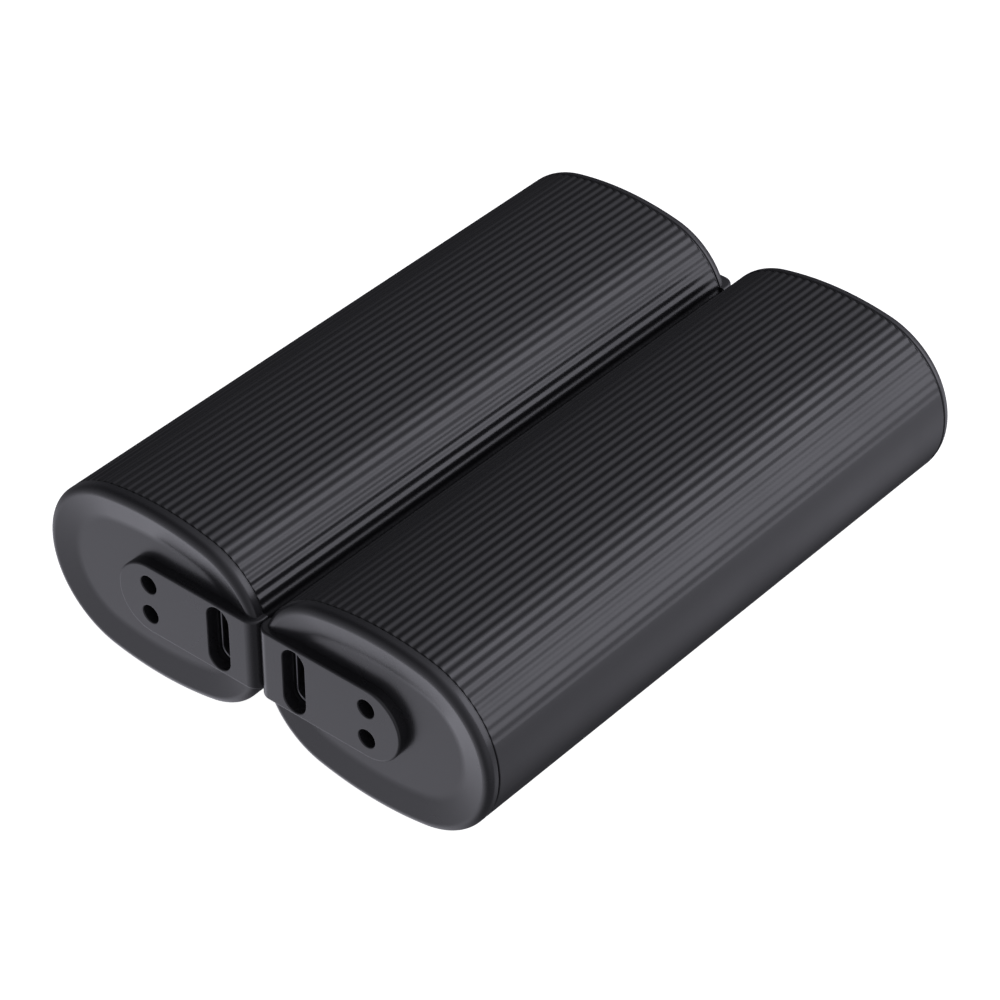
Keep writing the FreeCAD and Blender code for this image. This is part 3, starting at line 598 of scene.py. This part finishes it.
class CapOperator(WarmerOperator):
    """What both kinds of end cap share."""

    def blank(self, shape):
        """Rim, dish and spigot, joined with the boss."""
        stations = Oval(shape).even_loop(OVAL_STEPS)
        rings = [ring(stations, inset, forward) for inset, forward in self.profile(shape)]
        cap = build("cap", rings)
        return boolean(cap, self.boss(shape), "UNION")

    def profile(self, shape):
        """Insets and forward levels from the spigot's end over the rim's crest to the dish's flat."""
        radius = self.crest(shape)
        collar = SHELL_END + shape.collar_gap
        steps = [(shape.spigot_inset, shape.spigot_end), (shape.spigot_inset, collar),
                 (shape.gap_depth, collar), (shape.gap_depth, shape.rim_back),
                 (shape.end_round, shape.rim_back), (0.0, shape.rim_back + shape.end_round)]
        drop = shape.crest_level - shape.floor_level
        slope = self.dish_slope(radius, drop, shape.dish_width - radius)
        for step in range(CREST_STEPS + 1):
            angle = (math.pi / 2 + slope) * step / CREST_STEPS
            steps.append((radius * (1 - math.cos(angle)), shape.crest_level - radius * (1 - math.sin(angle))))
        blend = shape.dish_blend
        foot = shape.dish_width + blend * math.tan(slope / 2)
        for step in range(BLEND_STEPS + 1):
            angle = slope * (1 - step / BLEND_STEPS)
            steps.append((foot - blend * math.sin(angle), shape.floor_level + blend * (1 - math.cos(angle))))
        return steps

    def crest(self, shape):
        """Rounding of the cap's crest."""
        return shape.crest_radius

    def dish_slope(self, radius, drop, run):
        """Angle of the line that leaves a round crest and falls by a drop within a run from the crest."""
        below = radius - drop
        return math.asin(radius / math.hypot(run, below)) - math.atan2(below, run)

    def boss(self, shape):
        """The raised boss, with its corner by the mating face and its front edges rounded."""
        bm = bmesh.new()
        outline = pill(0.0, shape.boss_reach, shape.boss_radius, BOSS_STEPS)
        front = [bm.verts.new((p.x, -BOSS_LEVEL, p.y)) for p in outline]
        back = [bm.verts.new((p.x, -shape.rim_back, p.y)) for p in outline]
        bm.faces.new(front)
        bm.faces.new(back)
        for step in range(len(outline)):
            other = (step + 1) % len(outline)
            bm.faces.new((front[step], front[other], back[other], back[step]))
        bmesh.ops.recalc_face_normals(bm, faces=bm.faces)
        corner = bm.edges.get((front[-1], front[0]))
        bmesh.ops.bevel(bm, geom=[corner], offset=shape.boss_corner, segments=CORNER_STEPS, profile=0.5,
                        affect="EDGES")
        bm.normal_update()
        edges = [edge for edge in bm.edges if self.bounds_front(edge)]
        bmesh.ops.bevel(bm, geom=edges, offset=shape.boss_edge, segments=EDGE_STEPS, profile=0.5,
                        affect="EDGES")
        mesh = bpy.data.meshes.new("boss")
        bm.to_mesh(mesh)
        bm.free()
        return mesh

    def bounds_front(self, edge):
        """Whether an edge parts the boss's side from its front, its corner or its mating face."""
        facing = [face.normal for face in edge.link_faces]
        if any(normal.y > SQUARE for normal in facing):
            return False
        return sum(abs(normal.z) < SQUARE for normal in facing) == 1

    def cutter(self, stations, shape, depth):
        """A cutter for a hole in the boss, with a flared mouth that rounds the hole's edge."""
        steps = [(-2 * shape.mouth_round, BOSS_LEVEL + shape.mouth_round)]
        for step in range(MOUTH_STEPS + 1):
            angle = math.pi / 2 * step / MOUTH_STEPS
            steps.append((-shape.mouth_round * (1 - math.sin(angle)),
                          BOSS_LEVEL - shape.mouth_round * (1 - math.cos(angle))))
        steps.append((0.0, BOSS_LEVEL - depth))
        return build("cutter", [ring(stations, inset, forward) for inset, forward in steps])


class WARMER_OT_charge_caps(CapOperator, Operator):
    """Model the dished caps with the charging sockets' mouths and the cord holes"""

    bl_idname = "warmer.charge_caps"
    bl_label = "Charging Caps"

    def execute(self, context):
        shape = self.shape(context)
        place = Vector(CORD_MOUNT["pos_m"])
        radius = CORD_MOUNT["dims"]["r_mm"] * MM
        rise = place.z - HALF_HEIGHT
        holes = [circle(place.x - HALF_GAP, sign * rise, radius, HOLE_STEPS) for sign in (1, -1)]
        cutters = [self.cutter(stations, shape, shape.hole_depth) for stations in holes]
        half = (SOCKET_HIGH.z - SOCKET_LOW.z) / 2 + shape.mouth_clearance
        width = (SOCKET_HIGH.x - SOCKET_LOW.x) / 2 + shape.mouth_clearance
        cutters.append(self.cutter(stadium(socket_middle(), half, width, SLOT_STEPS), shape,
                                   BOSS_LEVEL - shape.spigot_end + shape.mouth_round))
        mesh = boolean(self.blank(shape), combine("cutters", cutters), "DIFFERENCE")
        material = moulded("moulded_cap", self.colours(context).cap)
        for unit in UNITS:
            piece(unit, "front_cap", mesh, material, ["charge_cap"])
        return {"FINISHED"}


class WARMER_OT_switch_caps(CapOperator, Operator):
    """Model the dished caps with the button bores and the light windows"""

    bl_idname = "warmer.switch_caps"
    bl_label = "Switch Caps"

    def execute(self, context):
        shape = self.shape(context)
        depth = BOSS_LEVEL - shape.spigot_end + shape.mouth_round
        radius = button_radius() + shape.button_clearance
        cutters = [self.cutter(circle(shape.boss_reach, 0.0, radius, BUTTON_STEPS), shape, depth)]
        half = (PIPE_HIGH.z - PIPE_LOW.z) / 2 + shape.window_clearance
        for low, high in light_windows():
            width = (high - low) / 2 + shape.window_clearance
            slot = stadium((low + high) / 2 - HALF_GAP, half, width, WINDOW_STEPS)
            cutters.append(self.cutter(slot, shape, depth))
        mesh = boolean(self.blank(shape), combine("cutters", cutters), "DIFFERENCE")
        material = moulded("moulded_cap", self.colours(context).cap)
        for unit in UNITS:
            piece(unit, "rear_cap", mesh, material, ["switch_cap"], rear=True)
        return {"FINISHED"}

    def crest(self, shape):
        """Rounding of the cap's crest."""
        return shape.rear_crest


def node_corners(name, depth):
    """Corners of a solid within a depth of its end towards +Y."""
    points = [v.co for v in frame["nodes"][name].data.vertices]
    level = max(p.y for p in points)
    return [p for p in points if p.y > level - depth]


def button_radius():
    """Radius of the button's shaft, read from the corners at its top."""
    middle = (BUTTON_LOW + BUTTON_HIGH) / 2
    corners = node_corners("right_power_button", depth=1.0 * MM)
    return max(math.hypot(p.x - middle.x, p.z - middle.z) for p in corners)


def light_windows():
    """Spans across the unit of the light pipe's prongs, read from the corners at their ends."""
    places = sorted({round(p.x, 5) for p in node_corners("right_light_pipe", depth=0.1 * MM)})
    return list(zip(places[::2], places[1::2]))


def socket_middle():
    """Middle of a charging socket across its unit."""
    return (SOCKET_HIGH.x + SOCKET_LOW.x) / 2 - HALF_GAP


class WARMER_OT_sockets(WarmerOperator, Operator):
    """Model the charging sockets with their tongues and contacts"""

    bl_idname = "warmer.sockets"
    bl_label = "Sockets"

    def execute(self, context):
        shape = self.shape(context)
        colours = self.colours(context)
        steel = finish("drawn_steel", colours.socket, roughness=(0.30, 0.42), grain_scale=5000.0, bump=0.1,
                       metallic=1.0, lines=6000.0)
        plastic = finish("tongue_plastic", colours.tongue, roughness=(0.40, 0.55))
        gold = finish("gold_contact", colours.contact, roughness=(0.25, 0.35), grain_scale=9000.0, bump=0.08,
                      metallic=1.0)
        parts = [("socket_shell", self.shell(shape), steel, "socket_steel", ["usb_shell"]),
                 ("socket_tongue", self.tongue(shape), plastic, "socket_plastic", ["usb_tongue"]),
                 ("socket_contacts", self.contacts(shape), gold, "socket_plastic", [])]
        for unit in UNITS:
            for name, mesh, material, slot, nodes in parts:
                piece(unit, name, mesh, material, nodes)
        return {"FINISHED"}

    def shell(self, shape):
        """A drawn tube with a rounded lip."""
        half = (SOCKET_HIGH.z - SOCKET_LOW.z) / 2
        radius = (SOCKET_HIGH.x - SOCKET_LOW.x) / 2
        stations = stadium(socket_middle(), half, radius, SLOT_STEPS)
        wall = shape.socket_wall
        front = -SOCKET_LOW.y
        back = -SOCKET_HIGH.y
        lip = wall / 2
        rings = [ring(stations, 0.0, back), ring(stations, 0.0, front - lip)]
        for step in range(1, LIP_STEPS):
            angle = math.pi * step / LIP_STEPS
            rings.append(ring(stations, lip * (1 - math.cos(angle)), front - lip * (1 - math.sin(angle))))
        rings += [ring(stations, wall, front - lip), ring(stations, wall, back)]
        return build("socket_shell", rings, joined=True)

    def tongue(self, shape):
        """The moulded base and the thin tongue that stands out of it."""
        half = (TONGUE_HIGH.z - TONGUE_LOW.z) / 2
        radius = (TONGUE_HIGH.x - TONGUE_LOW.x) / 2
        back = -TONGUE_HIGH.y
        stations = stadium(socket_middle(), half, radius, SLOT_STEPS)
        base = build("base", [ring(stations, 0.0, back), ring(stations, 0.0, back + shape.tongue_base)])
        low, high = self.tongue_box(shape)
        return combine("tongue", [base, block("bar", low, high, shape.tongue_edge)])

    def tongue_box(self, shape):
        """Corners of the tongue in the unit's own frame."""
        aside = Vector((shape.tongue_thickness / 2, 0.0, shape.tongue_width / 2))
        return (Vector((socket_middle(), TONGUE_LOW.y, 0.0)) - aside,
                Vector((socket_middle(), TONGUE_HIGH.y - shape.tongue_lap, 0.0)) + aside)

    def contacts(self, shape):
        """Rows of flat contacts on both sides of the tongue."""
        low, high = self.tongue_box(shape)
        pads = []
        front = low.y + shape.contact_setback
        for side, face in ((-1, low.x), (1, high.x)):
            for number in range(shape.contact_count):
                z = (number - (shape.contact_count - 1) / 2) * shape.contact_pitch
                span = sorted([face - side * shape.contact_rise, face + side * shape.contact_rise])
                pads.append(block("pad", (span[0], front, z - shape.contact_width / 2),
                                  (span[1], front + shape.contact_length, z + shape.contact_width / 2), 0.0))
        return combine("contacts", pads)


class WARMER_OT_buttons(WarmerOperator, Operator):
    """Model the push buttons and the light windows beside them"""

    bl_idname = "warmer.buttons"
    bl_label = "Buttons"

    def execute(self, context):
        shape = self.shape(context)
        colours = self.colours(context)
        button = self.mesh(shape)
        plastic = moulded("moulded_button", colours.button)
        frosted = finish("frosted_window", colours.window, spread=0.06, roughness=(0.30, 0.40),
                         grain_scale=4000.0, bump=0.1)
        windows = self.windows(shape)
        for unit in UNITS:
            piece(unit, "push_button", button, plastic, ["power_button"], body="button", rear=True)
            piece(unit, "light_windows", windows, frosted, ["light_pipe"], rear=True)
        return {"FINISHED"}

    def mesh(self, shape):
        """The turned shaft, joined with the square flange behind the cap."""
        half = (BUTTON_HIGH.x - BUTTON_LOW.x) / 2
        back = -BUTTON_LOW.y
        flange = block("flange", (shape.boss_reach - half, back - shape.flange_thickness, -half),
                       (shape.boss_reach + half, back, half), 0.0)
        shaft = lathe("shaft", shape.boss_reach, self.profile(shape), BUTTON_STEPS)
        return boolean(shaft, flange, "UNION")

    def profile(self, shape):
        """Radii and forward levels of the shaft from inside the flange to the middle of the dished top."""
        radius = button_radius()
        edge = shape.boss_edge
        top = BUTTON_HIGH.y
        foot = BUTTON_LOW.y + shape.flange_thickness / 2
        steps = [(POLE, foot), (radius, foot)]
        for step in range(BLEND_STEPS + 1):
            angle = math.pi / 2 * step / BLEND_STEPS
            steps.append((radius - edge * (1 - math.cos(angle)), top - edge * (1 - math.sin(angle))))
        inner = radius - shape.button_lip
        for step in range(DISH_STEPS):
            share = 1 - step / DISH_STEPS
            steps.append((inner * share, top - shape.button_dish * (1 - share * share)))
        steps.append((POLE, top - shape.button_dish))
        return steps

    def windows(self, shape):
        """The bar behind the cap and a rounded prong for each lamp."""
        low = Vector((PIPE_LOW.x - HALF_GAP, -PIPE_HIGH.y, PIPE_LOW.z - HALF_HEIGHT))
        high = Vector((PIPE_HIGH.x - HALF_GAP, -PIPE_LOW.y, PIPE_HIGH.z - HALF_HEIGHT))
        half = (high.z - low.z) / 2
        bar_front = BUTTON_HIGH.y - shape.bar_setback
        parts = [block("bar", (low.x, -bar_front, low.z), high, shape.bar_edge)]
        for left, right in light_windows():
            stations = stadium((left + right) / 2 - HALF_GAP, half, (right - left) / 2, WINDOW_STEPS)
            rings = [ring(stations, 0.0, bar_front - shape.prong_lap)]
            for drawn, back in SMALL_ROUND:
                tip = PIPE_HIGH.y - back * shape.window_round
                rings.append(ring(stations, drawn * shape.window_round, tip))
            parts.append(build("prong", rings))
        return combine("windows", parts)


class WARMER_OT_inside(WarmerOperator, Operator):
    """Finish the pieces inside the sleeves"""

    bl_idname = "warmer.inside"
    bl_label = "Inside"

    FINISHES = {
        "carrier_plastic": ((0.045, 0.045, 0.047), {}, ("chassis_tray", "chassis_cover")),
        "cell_wrap": ((0.06, 0.16, 0.30), {"roughness": (0.25, 0.35)}, ("battery_cell",)),
        "nickel_strip": ((0.62, 0.60, 0.56), {"metallic": 1.0, "lines": 5000.0}, ("cell_tabs",)),
        "board_resist": ((0.02, 0.12, 0.05), {"roughness": (0.30, 0.42)}, ("main_board", "button_board")),
        "board_part": ((0.03, 0.03, 0.033), {}, ("board_parts", "heat_sensor")),
        "amber_film": ((0.45, 0.19, 0.03), {"roughness": (0.25, 0.38), "lines": 2500.0},
                       ("upper_heater", "lower_heater", "button_flex")),
        "switch_case": ((0.02, 0.02, 0.021), {}, ("tact_switch", "switch_stem")),
        "lamp_resin": ((0.75, 0.72, 0.55), {"roughness": (0.20, 0.30)}, ("lamps",)),
        "magnet_plating": ((0.55, 0.55, 0.56), {"metallic": 1.0, "roughness": (0.18, 0.28)}, ("magnets",)),
    }

    def execute(self, context):
        for name, (base, settings, nodes) in self.FINISHES.items():
            material = finish(name, base, **settings)
            for unit in UNITS:
                for part in nodes:
                    mesh = frame["nodes"][f"{unit}_{part}"].data
                    mesh.materials.clear()
                    mesh.materials.append(material)
        return {"FINISHED"}


class WARMER_OT_stage(WarmerOperator, Operator):
    """Set up the floor, the lights and the camera"""

    bl_idname = "warmer.stage"
    bl_label = "Stage"

    # Name, middle, direction, width, depth and brightness of each soft box.
    LIGHTS = (
        ("soft_box", (0.62, 0.52, 0.36), (-0.62, -0.52, -0.34), 0.8, 0.8, 1.6),
    )
    # Direction, strength and narrowness of each soft glow round the object.
    GLOWS = (
        ((0.45, 0.60, 0.66), 1.35, 3.0),
        ((-0.60, -0.14, -0.78), 1.4, 10.0),
        ((-0.40, -0.90, -0.10), 0.65, 4.0),
        ((-0.30, -0.75, -0.60), 0.55, 10.0),
        ((0.45, 0.78, -0.43), 1.3, 16.0),
        ((0.60, -0.40, -0.70), 0.15, 2.0),
        ((0.50, -0.60, 0.60), 0.4, 3.0),
        ((0.98, -0.15, -0.05), 0.45, 6.0),
        ((-0.98, 0.15, 0.05), 0.15, 6.0),
    )

    def execute(self, context):
        stage = context.scene.warmer_stage
        self.floor(context, stage)
        self.lights(context, stage)
        self.sky(context, stage)
        self.camera(context, stage)
        context.scene.view_settings.view_transform = "Standard"
        return {"FINISHED"}

    def floor(self, context, stage):
        """A pale floor that only the camera sees."""
        half = stage.floor_size / 2
        mesh = bpy.data.meshes.new("floor")
        corners = [(-half, -half, 0), (half, -half, 0), (half, half, 0), (-half, half, 0)]
        mesh.from_pydata(corners, [], [(0, 1, 2, 3)])
        material = finish("pale_floor", self.colours(context).floor, spread=0.01, roughness=(0.7, 0.8),
                          grain_scale=400.0, patch_scale=5.0, bump=0.0)
        shader = material.node_tree.nodes["Principled BSDF"]
        shader.inputs["Emission Color"].default_value = (1.0, 1.0, 1.0, 1.0)
        shader.inputs["Emission Strength"].default_value = stage.floor_white
        mesh.materials.append(material)
        floor = bpy.data.objects.new("floor", mesh)
        floor.visible_glossy = False
        floor.visible_diffuse = False
        floor.visible_shadow = False
        context.scene.collection.objects.link(floor)

    def lights(self, context, stage):
        """The soft boxes."""
        for name, middle, way, width, depth, brightness in self.LIGHTS:
            data = bpy.data.lights.new(name, "AREA")
            data.shape = "RECTANGLE"
            data.size = width
            data.size_y = depth
            data.energy = stage.brightness * brightness * math.pi * width * depth
            data.color = stage.tint
            light = bpy.data.objects.new(name, data)
            light.location = middle
            light.rotation_euler = Vector(way).to_track_quat("-Z", "Y").to_euler()
            context.scene.collection.objects.link(light)

    def sky(self, context, stage):
        """Soft glows from a few sides, and plain white to the camera."""
        world = bpy.data.worlds.new("sky")
        world.use_nodes = True
        tree = world.node_tree
        way = node(tree, "TexCoord").outputs["Generated"]
        total = node(tree, "Value")
        total.outputs["Value"].default_value = stage.ambient
        total = total.outputs["Value"]
        for axis, strength, narrowness in self.GLOWS:
            facing = node(tree, "VectorMath", operation="DOT_PRODUCT")
            facing.inputs[1].default_value = Vector(axis).normalized()
            tree.links.new(way, facing.inputs[0])
            lit = node(tree, "Math", operation="MAXIMUM")
            tree.links.new(facing.outputs["Value"], lit.inputs[0])
            lit.inputs[1].default_value = 0.0
            fall = node(tree, "Math", operation="POWER")
            tree.links.new(lit.outputs["Value"], fall.inputs[0])
            fall.inputs[1].default_value = narrowness
            added = node(tree, "Math", operation="MULTIPLY_ADD")
            tree.links.new(fall.outputs["Value"], added.inputs[0])
            added.inputs[1].default_value = stage.brightness * strength
            tree.links.new(total, added.inputs[2])
            total = added.outputs["Value"]
        seen = node(tree, "Mix", data_type="FLOAT", B=1.0)
        plain = node(tree, "Mix", data_type="RGBA")
        plain.inputs["A"].default_value = (*stage.tint, 1.0)
        plain.inputs["B"].default_value = (1.0, 1.0, 1.0, 1.0)
        to_camera = node(tree, "LightPath").outputs["Is Camera Ray"]
        tree.links.new(to_camera, seen.inputs["Factor"])
        tree.links.new(to_camera, plain.inputs["Factor"])
        tree.links.new(total, seen.inputs["A"])
        tree.links.new(seen.outputs["Result"], tree.nodes["Background"].inputs["Strength"])
        tree.links.new(plain.outputs["Result"], tree.nodes["Background"].inputs["Color"])
        context.scene.world = world

    def camera(self, context, stage):
        """The camera at the photograph's angle."""
        data = bpy.data.cameras.new("view")
        data.lens = stage.lens
        data.sensor_width = SENSOR_WIDTH
        data.clip_start = NEAR_CLIP
        camera = bpy.data.objects.new("view", data)
        turn, tilt = stage.camera_azimuth, stage.camera_elevation
        back = Vector((math.sin(turn) * math.cos(tilt), -math.cos(turn) * math.cos(tilt), math.sin(tilt)))
        aim = back.to_track_quat("Z", "Y").to_matrix().to_4x4() @ Matrix.Rotation(stage.camera_roll, 4, "Z")
        camera.matrix_world = Matrix.Translation(stage.camera_place) @ aim
        context.scene.collection.objects.link(camera)
        context.scene.camera = camera


OPERATORS = (WARMER_OT_sleeves, WARMER_OT_charge_caps, WARMER_OT_switch_caps, WARMER_OT_sockets,
             WARMER_OT_buttons, WARMER_OT_inside, WARMER_OT_stage)


class WARMER_PT_panel(Panel):
    """Pieces of the hand warmer, with their sizes and colours"""

    bl_idname = "WARMER_PT_panel"
    bl_label = "Hand Warmer"
    bl_space_type = "VIEW_3D"
    bl_region_type = "UI"
    bl_category = "Hand Warmer"

    def draw(self, context):
        for operator in OPERATORS:
            self.layout.operator(operator.bl_idname)
        for settings in (context.scene.warmer_shape, context.scene.warmer_finish, context.scene.warmer_stage):
            box = self.layout.box()
            for name in settings.__annotations__:
                box.prop(settings, name)


CLASSES = (WarmerShape, WarmerFinish, WarmerStage, *OPERATORS, WARMER_PT_panel)


def register():
    """Make the operators, the panel and the settings known to Blender."""
    for kind in CLASSES:
        bpy.utils.register_class(kind)
    bpy.types.Scene.warmer_shape = PointerProperty(type=WarmerShape)
    bpy.types.Scene.warmer_finish = PointerProperty(type=WarmerFinish)
    bpy.types.Scene.warmer_stage = PointerProperty(type=WarmerStage)


def unregister():
    """Take them away again, in reverse order."""
    del bpy.types.Scene.warmer_stage
    del bpy.types.Scene.warmer_finish
    del bpy.types.Scene.warmer_shape
    for kind in reversed(CLASSES):
        bpy.utils.unregister_class(kind)


def main():
    """Build the pair and its stage."""
    register()
    bpy.ops.warmer.sleeves()
    bpy.ops.warmer.charge_caps()
    bpy.ops.warmer.switch_caps()
    bpy.ops.warmer.sockets()
    bpy.ops.warmer.buttons()
    bpy.ops.warmer.inside()
    bpy.ops.warmer.stage()


if __name__ == "__main__":
    main()
